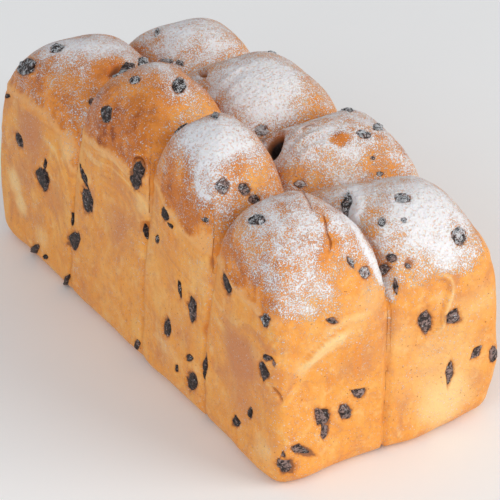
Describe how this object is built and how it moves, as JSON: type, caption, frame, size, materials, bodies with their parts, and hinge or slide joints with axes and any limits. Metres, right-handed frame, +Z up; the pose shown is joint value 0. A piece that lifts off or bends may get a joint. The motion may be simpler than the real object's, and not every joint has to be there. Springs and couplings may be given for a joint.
{
  "type": "chocolate chip brioche loaf",
  "caption": "Tin-baked brioche loaf of domed dough balls in two rows, with chocolate chips in the crust, a sugar-dusted top and a flat base.",
  "frame": {"origin": "centre of the loaf's base, on the surface it rests on", "axes": "+Z up, +Y along the loaf towards its far end, +X across it from the taller row to the lower row"},
  "size_m": [0.1228, 0.2562, 0.1343],
  "materials": {
    "crust": "soft matt golden crust, browned domes dusted with sugar",
    "chocolate": "rough matt dark chocolate with a grey bloom"
  },
  "bodies": {
    "root": {"loaf": "crust"}
  },
  "joints": []
}
